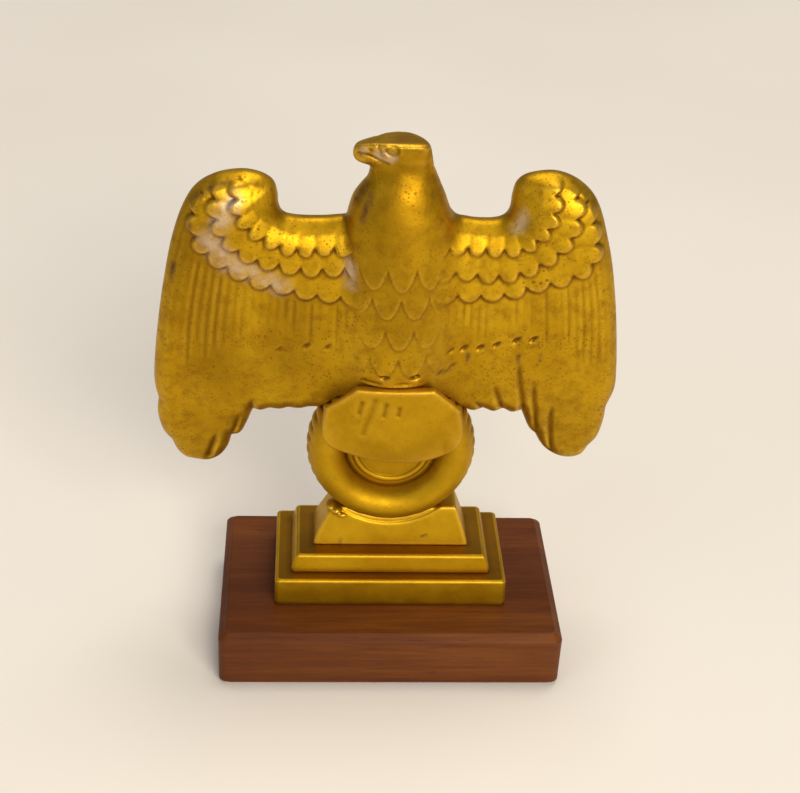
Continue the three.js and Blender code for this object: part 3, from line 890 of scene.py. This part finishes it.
SOLDER_INSET = 0.5  # mm from the block's faces to the metal that fills the seat up to the ring
SOLDER_GAP = 0.1
SOLDER_BEADS = [
    ((-18.2, -1.4, 45.5), (1.7, 2.6, 1.2)), ((-16.6, -3.5, 45.0), (1.5, 1.6, 1.0)),
    ((-14.8, -4.5, 43.9), (1.5, 0.9, 0.7)),
]


def saddle_field(x, y, z):
    """A block that leans in on all sides, with a round seat across its top."""
    low, high = box_mm("plinth_saddle")
    middle = (low + high) / 2
    size = high - low
    share = np.clip((z - low[2]) / size[2], 0, 1.2)
    lean_x = np.where(x < middle[0], 5.4, 3.9) * share ** np.where(x < middle[0], 1.25, 1.1)
    lean_y = 2.6 * share
    across = np.abs(x - middle[0]) - size[0] / 2 + lean_x
    deep = np.abs(y - middle[1]) - size[1] / 2 + lean_y
    block = smooth_max(smooth_max(across, deep, 0.7), z - high[2] - 0.3, 0.8)
    seat = RING_OUTER + 0.3 - np.hypot(x - RING_X, z - RING_Z)
    solder = block + SOLDER_INSET
    for bead_centre, bead_radii in SOLDER_BEADS:
        solder = smooth_min(solder, ellipsoid(x, y, z, bead_centre, bead_radii), 0.5)
    solder = smooth_max(solder, SOLDER_GAP - ring_field(x, y, z), 0.2)
    block = smooth_min(smooth_max(block, seat, 0.6), solder, 0.4)
    return smooth_max(block, low[2] - z, 0.2)


RIBS = 44
RIB_HEIGHT = 0.95


def make_ring():
    """The ring's tube, smooth on the tail side and ribbed over its rim and far side."""
    turns, around = RIBS * 10, 56
    theta = 2 * np.pi * np.arange(turns)[:, None] / turns
    phi = 2 * np.pi * np.arange(around)[None, :] / around
    out, back = np.cos(phi), np.sin(phi)
    rib = np.abs(np.sin(RIBS * theta / 2)) ** 0.7
    mask = ease((out * 0.75 + back * 0.65 - 0.15) / 0.5) * ease((out + 0.75) / 0.5)
    swell = RIB_HEIGHT * (rib - 0.8) * mask
    reach = RING_CIRCLE + (RING_TUBE + swell) * out
    points = np.stack([
        RING_X + reach * np.cos(theta),
        RING_Y + (RING_HALF_DEPTH + swell) * back,
        RING_Z + reach * np.sin(theta),
    ], axis=-1)
    index = np.arange(turns * around).reshape(turns, around)
    onward, beside = np.roll(index, -1, axis=0), np.roll(index, -1, axis=1)
    faces = np.stack([index, beside, np.roll(onward, -1, axis=1), onward], axis=-1)
    piece = mesh_object("ring_casting", points.reshape(-1, 3), faces.reshape(-1, 4))
    # Browner in the grooves between the ribs (grime and painted shade), and on the inner face beside the plate
    # and under the ring in its seat (painted shade).
    groove_depth = 0.35 * (0.8 - rib) * mask
    inside = 0.1 * ease((-out - 0.55) / 0.3)
    painted_shade_below = 0.2 * ease((-np.sin(theta) - 0.6) / 0.3) * ease((out - 0.2) / 0.5)
    store_grime_and_shade(piece.data, (groove_depth + inside + painted_shade_below).ravel())
    return piece


def make_disc():
    """A plain turned plate with one round bead, the same on both sides."""
    radius = RING_HOLE + 0.1
    half = (disc_high[1] - disc_low[1]) / 2
    bead_radius, bead_height = 0.8, 0.7
    # The third number of each profile point paints shade and highlight: painted shade at the bead's foot and
    # toward the ring, a painted highlight on the bead's crown.
    profile = [(0.0, 0.0, 0.0), (radius * 0.5, 0.0, 0.0), (radius * 0.70, 0.0, 0.1)]
    for step in range(9):
        angle = math.pi * step / 8
        profile.append((
            radius * 0.79 - bead_radius * math.cos(angle), bead_height * math.sin(angle),
            0.2 - 0.3 * math.sin(angle),
        ))
    profile += [(radius * 0.9, 0.0, 0.15), (radius, 0.0, 0.3)]
    face = half - bead_height
    turned = [(r, -(face + h), d) for r, h, d in profile]
    turned += [(r, face + h, d) for r, h, d in reversed(profile)]
    segments = 96
    rim = turned[1:-1]
    count = len(rim)
    points, depths, faces = [], [], []
    for i in range(segments):
        angle = 2 * math.pi * i / segments
        for r, y, depth in rim:
            points.append((RING_X + r * math.cos(angle), RING_Y + y, RING_Z + r * math.sin(angle)))
            depths.append(depth)
        here, ahead = i * count, ((i + 1) % segments) * count
        for j in range(count - 1):
            faces.append((here + j, here + j + 1, ahead + j + 1, ahead + j))
    for centre, edge in ((turned[0], 0), (turned[-1], count - 1)):
        middle = len(points)
        points.append((RING_X, RING_Y + centre[1], RING_Z))
        depths.append(centre[2])
        for i in range(segments):
            here, ahead = i * count + edge, ((i + 1) % segments) * count + edge
            faces.append((middle, here, ahead) if edge == 0 else (middle, ahead, here))
    piece = mesh_object("ring_plate", points, faces)
    store_grime_and_shade(piece.data, np.array(depths))
    return piece


# ------------------------------------------------------------------ materials


def new_material(name):
    material = bpy.data.materials.new(name)
    material.use_nodes = True
    nodes, links = material.node_tree.nodes, material.node_tree.links
    shader = nodes["Principled BSDF"]
    return material, nodes, links, shader


def noise(nodes, links, where, scale, detail=2.0, rough=0.5):
    node = nodes.new("ShaderNodeTexNoise")
    node.inputs["Scale"].default_value = scale
    node.inputs["Detail"].default_value = detail
    node.inputs["Roughness"].default_value = rough
    links.new(where, node.inputs["Vector"])
    return node.outputs["Fac"]


def ramp(nodes, links, value, *stops):
    node = nodes.new("ShaderNodeValToRGB")
    elements = node.color_ramp.elements
    while len(elements) < len(stops):
        elements.new(0.5)
    for element, (position, shade) in zip(elements, stops):
        element.position = position
        element.color = (*shade, 1) if len(np.shape(shade)) else (shade, shade, shade, 1)
    links.new(value, node.inputs["Fac"])
    return node.outputs["Color"]


def mix(nodes, links, share, first, second):
    node = nodes.new("ShaderNodeMix")
    node.data_type = "RGBA"
    for socket, value in ((node.inputs[0], share), (node.inputs[6], first), (node.inputs[7], second)):
        if isinstance(value, bpy.types.NodeSocket):
            links.new(value, socket)
        elif socket is node.inputs[0]:
            socket.default_value = value
        else:
            socket.default_value = (*value, 1)
    return node.outputs[2]


def arithmetic(nodes, links, operation, first, second):
    node = nodes.new("ShaderNodeMath")
    node.operation = operation
    for socket, value in zip(node.inputs, (first, second)):
        if isinstance(value, bpy.types.NodeSocket):
            links.new(value, socket)
        else:
            socket.default_value = value
    return node.outputs[0]


def times(nodes, links, first, second):
    return arithmetic(nodes, links, "MULTIPLY", first, second)


def bump(nodes, links, shader, height, strength, distance):
    node = nodes.new("ShaderNodeBump")
    node.inputs["Strength"].default_value = strength
    node.inputs["Distance"].default_value = distance
    links.new(height, node.inputs["Height"])
    links.new(node.outputs["Normal"], shader.inputs["Normal"])


def attribute(nodes, name):
    node = nodes.new("ShaderNodeAttribute")
    node.attribute_name = name
    return node.outputs["Fac"]


def dots(nodes, links, where, scale, small, large):
    """Uneven dots scattered at random: 1 in a dot."""
    wobble = nodes.new("ShaderNodeTexNoise")
    wobble.inputs["Scale"].default_value = scale * 1.6
    links.new(where, wobble.inputs["Vector"])
    moved = nodes.new("ShaderNodeVectorMath")
    moved.operation = "MULTIPLY_ADD"
    moved.inputs[1].default_value = (0.5 / scale,) * 3
    links.new(wobble.outputs["Color"], moved.inputs[0])
    links.new(where, moved.inputs[2])
    cells = nodes.new("ShaderNodeTexVoronoi")
    cells.inputs["Scale"].default_value = scale
    links.new(moved.outputs["Vector"], cells.inputs["Vector"])
    level = arithmetic(nodes, links, "ADD", cells.outputs["Distance"],
                       arithmetic(nodes, links, "MULTIPLY", cells.outputs["Color"], 0.35))
    return ramp(nodes, links, level, (small, 1.0), (large, 0.0))


def gilt_material(name, pitting, roughness):
    """Aged gilding: warm gold with dark pits, browner in hollows as grime and painted shade, lighter on edges
    as wear and painted highlight, with pale places of wear and painted highlight and dark places of stains and
    painted shade.
    """
    material, nodes, links, shader = new_material(name)
    where = nodes.new("ShaderNodeTexCoord").outputs["Object"]
    grime_and_shade = attribute(nodes, "grime_and_shade")
    cloud = noise(nodes, links, where, 45, 4, 0.6)
    gold = mix(nodes, links, ramp(nodes, links, cloud, (0.35, 0.0), (0.7, 1.0)),
               (0.45, 0.242, 0.004), (0.60, 0.358, 0.010))
    # Broad painted shade on the neck and the left wing, and darker bands along the wing tops: a darker gold.
    shade_and_tarnish_share = times(nodes, links, attribute(nodes, "shade_and_tarnish"), 0.6)
    gold = mix(nodes, links, shade_and_tarnish_share, gold, (0.27, 0.140, 0.003))
    # Browner in hollows, at joints and on block tops: grime and painted shade. Lighter on edges: wear and
    # painted highlight.
    grime_and_shade_share = ramp(nodes, links, grime_and_shade, (0.52, 0.0), (0.85, 0.9))
    brown = mix(nodes, links, grime_and_shade_share, gold, (0.17, 0.068, 0.004))
    highlight_and_wear_share = ramp(nodes, links, grime_and_shade, (0.2, 0.55), (0.47, 0.0))
    edged = mix(nodes, links, highlight_and_wear_share, brown, (0.78, 0.47, 0.05))

    mottled = ramp(nodes, links, noise(nodes, links, where, 260, 6, 0.7), (0.46, 0.0), (0.68, 0.65))
    mottling = times(nodes, links, mottled, pitting)
    edged = mix(nodes, links, mottling, edged, (0.27, 0.125, 0.004))

    crowd = noise(nodes, links, where, 70, 3, 0.6)
    large_dots = times(nodes, links, dots(nodes, links, where, 560, 0.20, 0.36),
                       ramp(nodes, links, crowd, (0.44, 0.0), (0.60, 0.7)))
    small_dots = times(nodes, links, dots(nodes, links, where, 1150, 0.24, 0.48),
                       ramp(nodes, links, crowd, (0.34, 0.2), (0.62, 0.65)))
    any_dots = arithmetic(nodes, links, "MAXIMUM", large_dots, small_dots)
    pits = times(nodes, links, any_dots, pitting)
    pitted = mix(nodes, links, pits, edged, (0.22, 0.095, 0.005))

    # Pale places: worn gilding and painted highlights. Dark places: stains and painted shade.
    patchy = ramp(nodes, links, noise(nodes, links, where, 330, 4, 0.65), (0.40, 0.3), (0.58, 1.0))
    pale = times(nodes, links, times(nodes, links, attribute(nodes, "worn_and_highlit"), patchy), 0.6)
    worn_and_highlit = mix(nodes, links, pale, pitted, (0.62, 0.50, 0.40))
    dark = times(nodes, links, times(nodes, links, attribute(nodes, "stains_and_shade"), patchy), 0.85)
    links.new(mix(nodes, links, dark, worn_and_highlit, (0.13, 0.055, 0.03)), shader.inputs["Base Color"])
    shader.inputs["Metallic"].default_value = 0.96

    dull = arithmetic(nodes, links, "MAXIMUM", pits, dark)
    satin = ramp(nodes, links, noise(nodes, links, where, 160, 3, 0.6),
                 (0.3, roughness - 0.06), (0.75, roughness + 0.06))
    links.new(mix(nodes, links, dull, satin, (0.8, 0.8, 0.8)), shader.inputs["Roughness"])
    uneven = times(nodes, links, noise(nodes, links, where, 130, 2, 0.5), 2.5)
    grain = arithmetic(nodes, links, "ADD", noise(nodes, links, where, 420, 3, 0.55), uneven)
    bump(nodes, links, shader, arithmetic(nodes, links, "SUBTRACT", grain, pits), 0.3, 0.0002)
    return material


def wood_material():
    """Red-brown hardwood under a satin lacquer, its grain along X."""
    material, nodes, links, shader = new_material("walnut")
    where = nodes.new("ShaderNodeTexCoord").outputs["Object"]

    def along_grain(length_scale, cross_scale, detail, rough):
        stretch = nodes.new("ShaderNodeMapping")
        stretch.inputs["Scale"].default_value = (length_scale, cross_scale, cross_scale)
        links.new(where, stretch.inputs["Vector"])
        return noise(nodes, links, stretch.outputs["Vector"], 1.0, detail, rough)

    bands = along_grain(7, 80, 4, 0.65)
    fibres = along_grain(45, 900, 3, 0.6)
    pores = ramp(nodes, links, along_grain(130, 2200, 2, 0.5), (0.30, 1.0), (0.42, 0.0))
    base = ramp(nodes, links, bands, (0.3, (0.074, 0.018, 0.0025)), (0.52, (0.125, 0.033, 0.005)),
                (0.72, (0.185, 0.056, 0.009)))
    in_fibres = ramp(nodes, links, fibres, (0.35, 0.35), (0.6, 0.0))
    streaked = mix(nodes, links, in_fibres, base, (0.06, 0.016, 0.005))
    colour = mix(nodes, links, times(nodes, links, pores, 0.35), streaked, (0.03, 0.009, 0.004))
    links.new(colour, shader.inputs["Base Color"])
    shader.inputs["Roughness"].default_value = 0.5
    shader.inputs["Specular IOR Level"].default_value = 0.12
    shader.inputs["Coat Weight"].default_value = 0.08
    shader.inputs["Coat Roughness"].default_value = 0.3
    bump(nodes, links, shader, arithmetic(nodes, links, "SUBTRACT", fibres, pores), 0.25, 0.0001)
    return material


def felt_material():
    material, nodes, links, shader = new_material("baize")
    where = nodes.new("ShaderNodeTexCoord").outputs["Object"]
    fibres = noise(nodes, links, where, 2600, 4, 0.7)
    links.new(ramp(nodes, links, fibres, (0.3, (0.10, 0.02, 0.018)), (0.7, (0.26, 0.06, 0.05))),
              shader.inputs["Base Color"])
    shader.inputs["Roughness"].default_value = 0.95
    shader.inputs["Sheen Weight"].default_value = 0.4
    bump(nodes, links, shader, fibres, 0.8, 0.0003)
    return material


def zinc_material():
    material, nodes, links, shader = new_material("zinc")
    where = nodes.new("ShaderNodeTexCoord").outputs["Object"]
    spangle = noise(nodes, links, where, 700, 3, 0.6)
    links.new(ramp(nodes, links, spangle, (0.3, (0.42, 0.42, 0.40)), (0.7, (0.62, 0.62, 0.60))),
              shader.inputs["Base Color"])
    shader.inputs["Metallic"].default_value = 1.0
    links.new(ramp(nodes, links, spangle, (0.3, 0.3), (0.7, 0.5)), shader.inputs["Roughness"])
    return material


# ------------------------------------------------------------------ putting it together

PITTED_GILT = gilt_material("pitted_gilt", 1.0, 0.46)
CLEAN_GILT = gilt_material("clean_gilt", 0.2, 0.46)
DULL_GILT = gilt_material("dull_gilt", 0.3, 0.56)
WOOD, FELT, ZINC = wood_material(), felt_material(), zinc_material()


def settle(piece, material, slot, *nodes):
    piece.data.materials.append(material)
    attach(piece, "root")
    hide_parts(*nodes)


GRID = 1.0
WING_STEP, BODY_STEP, SMALL_STEP = 0.42 * GRID, 0.32 * GRID, 0.3 * GRID

settle(carve("left_wing_casting", figure_field, (-71, -6, 56), (LEFT_ROOT + 1.7, 11.5, 154), WING_STEP,
             [(LEFT_ROOT, False)]), PITTED_GILT, "gilt", "left_wing")
settle(carve("right_wing_casting", figure_field, (RIGHT_ROOT - 1.7, -6, 57), (65, 11.5, 156), WING_STEP,
             [(RIGHT_ROOT, True)]), PITTED_GILT, "gilt", "right_wing")
settle(carve("trunk_casting", figure_field, (LEFT_ROOT - 1.7, -12.5, 75), (RIGHT_ROOT + 1.7, 14.5, 164.5),
             BODY_STEP, [(LEFT_ROOT, True), (RIGHT_ROOT, False)]), PITTED_GILT, "gilt", "eagle_body")
settle(carve("tail_casting", tail_field, (-23, -12, 63.5), (21, -3, 92.5), SMALL_STEP),
       DULL_GILT, "gilt", "tail")
for node in ("left_leg", "right_leg"):
    leg_low, leg_high = box_mm(node)
    settle(carve(node + "_casting", lambda x, y, z: leg_field(x, y, z, node),
                 (leg_low[0] - 1.5, 4, RING_Z + 13), leg_high + 1.5, SMALL_STEP), PITTED_GILT, "gilt", node)
saddle_low, saddle_high = box_mm("plinth_saddle")
settle(carve("saddle_casting", saddle_field, saddle_low - 1, saddle_high + 1.5, SMALL_STEP),
       CLEAN_GILT, "gilt", "plinth_saddle")
settle(make_ring(), DULL_GILT, "gilt", "ring")
settle(make_disc(), DULL_GILT, "gilt", "ring_disc")
settle(make_foot(), CLEAN_GILT, "gilt", "plinth_foot")
settle(make_step(), CLEAN_GILT, "gilt", "plinth_step")
settle(make_wood(), WOOD, "wood", "wood_base")
felt = make_felt()
settle(felt, FELT, "felt", "felt_pad")

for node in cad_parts.values():
    if not node.hide_render:
        node.data.materials.clear()
        node.data.materials.append(ZINC)

# ------------------------------------------------------------------ floor, light and camera


def make_floor():
    material, nodes, links, shader = new_material("pale_floor")
    where = nodes.new("ShaderNodeTexCoord").outputs["Object"]
    links.new(ramp(nodes, links, noise(nodes, links, where, 4, 2, 0.5), (0.3, (0.80, 0.755, 0.68)),
                   (0.7, (0.84, 0.80, 0.73))), shader.inputs["Base Color"])
    shader.inputs["Roughness"].default_value = 0.7
    side = 3.0
    corners = np.array([(-side, -side, 0), (side, -side, 0), (side, side, 0), (-side, side, 0)])
    floor = mesh_object("floor", corners / MM, [(0, 1, 2, 3)], smooth=False)
    floor.data.materials.append(material)


def area_light(name, place, target, size, power, colour):
    light = bpy.data.lights.new(name, "AREA")
    light.energy = power
    light.size = size
    light.color = colour
    lamp = bpy.data.objects.new(name, light)
    lamp.location = place
    lamp.rotation_euler = (Vector(target) - Vector(place)).to_track_quat("-Z", "Y").to_euler()
    bpy.context.scene.collection.objects.link(lamp)


def make_light():
    world = bpy.data.worlds.new("studio")
    bpy.context.scene.world = world
    world.use_nodes = True
    background = world.node_tree.nodes["Background"]
    background.inputs["Color"].default_value = (0.92, 0.86, 0.84, 1)
    background.inputs["Strength"].default_value = 0.30
    middle = (0, 0, 0.09)
    area_light("key", (0.75, -2.0, 1.35), middle, 1.3, 49.0, (1.0, 0.93, 0.80))
    area_light("window", (-1.9, -1.4, 1.3), middle, 1.1, 7.0, (0.80, 0.86, 1.0))
    area_light("ceiling", (0.3, 0.7, 3.0), middle, 1.6, 44.0, (1.0, 0.95, 0.88))


def make_camera():
    """The view was solved once: azimuth, elevation and roll in degrees, the rest in metres."""
    azimuth, elevation, roll = (math.radians(a) for a in (-4.167, 32.71, 2.969))
    distance, target, lens = 0.45221, Vector((0.00094, 0, 0.08313)), 70.9
    back = Vector((math.sin(azimuth) * math.cos(elevation), -math.cos(azimuth) * math.cos(elevation),
                   math.sin(elevation)))
    right = Vector((math.cos(azimuth), math.sin(azimuth), 0))
    up = back.cross(right)
    x_axis = right * math.cos(roll) + up * math.sin(roll)
    y_axis = up * math.cos(roll) - right * math.sin(roll)
    data = bpy.data.cameras.new("camera")
    data.lens = lens
    data.sensor_width = 36
    camera = bpy.data.objects.new("camera", data)
    turn = Matrix((x_axis, y_axis, back)).transposed().to_4x4()
    camera.matrix_world = Matrix.Translation(target + back * distance) @ turn
    bpy.context.scene.collection.objects.link(camera)
    bpy.context.scene.camera = camera


make_floor()
make_light()
make_camera()
bpy.context.scene.view_settings.view_transform = "Standard"
